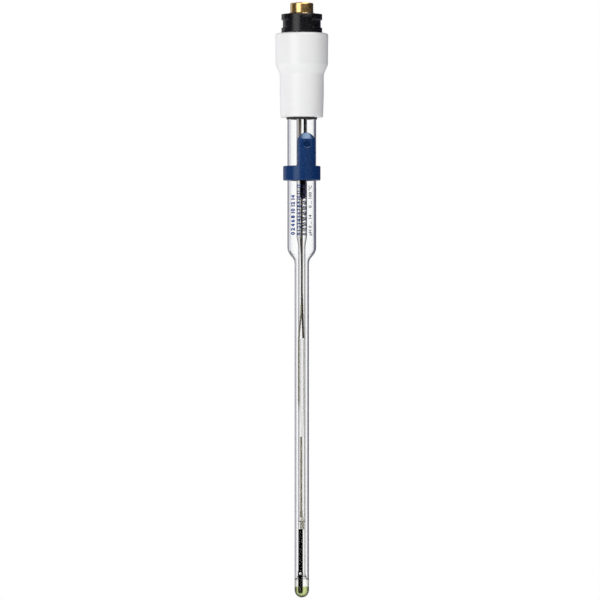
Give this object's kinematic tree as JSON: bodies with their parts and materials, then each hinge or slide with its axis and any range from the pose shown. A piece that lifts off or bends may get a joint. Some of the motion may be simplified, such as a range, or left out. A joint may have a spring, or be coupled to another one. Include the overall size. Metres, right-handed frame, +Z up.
{
  "type": "ph electrode",
  "caption": "Refillable glass combination pH electrode with a stepped white head, twist-lock brass plug, slim glass stem, dome membrane and a turning blue refill cover.",
  "frame": {"origin": "on the shaft's axis at the underside of the head, the face from which the shaft's length is measured", "axes": "+Z up the axis to the plug, -Y the front with the refill hole and the junction, +X to the right"},
  "size_m": [0.022, 0.022, 0.248],
  "materials": {
    "head_white": "glossy moulded",
    "plug_black": "satin moulded",
    "contact_brass": "turned and polished",
    "insulator_cream": "satin",
    "lead_tan": "matt",
    "gasket_black": "matt",
    "resin_grey": "cast",
    "stopper_grey": "matt",
    "clear_glass": "fire polished",
    "membrane_glass": "fire polished",
    "ceramic_white": "fine porous",
    "cover_blue": "satin moulded",
    "silver_wire": "drawn",
    "cartridge_olive": "smooth",
    "sleeve_black": "matt",
    "wire_brown": "matt",
    "strand_tan": "matt",
    "pad_cream": "matt",
    "rod_black": "matt",
    "buffer_liquid": "clear liquid"
  },
  "bodies": {
    "electrode": {"head_cap": "head_white", "connector_body": "plug_black", "contact_sleeve": "contact_brass", "contact_insulator": "insulator_cream", "centre_contact": "contact_brass", "centre_lead": "lead_tan", "shield_lead": "lead_tan", "shaft_gasket": "gasket_black", "potting_resin": "resin_grey", "tube_stopper": "stopper_grey", "outer_shaft": "clear_glass", "inner_tube": "clear_glass", "ph_membrane": "membrane_glass", "ceramic_junction": "ceramic_white", "reference_sheath": "lead_tan", "reference_wire": "silver_wire", "reference_cartridge": "cartridge_olive", "lead_sleeve": "sleeve_black", "sleeve_plug": "sleeve_black", "lead_off_wire": "wire_brown", "lead_off_capillary": "clear_glass", "lead_off_strand": "strand_tan", "lead_off_pad": "pad_cream", "lead_off_rod": "rod_black", "inner_buffer": "buffer_liquid"},
    "cover": {"refill_cover": "cover_blue"}
  },
  "joints": [
    {"name": "cover_turn", "type": "hinge", "parent": "electrode", "child": "cover", "pos_m": [0, 0, -0.023], "axis": [0, 0, 1], "continuous": true}
  ]
}
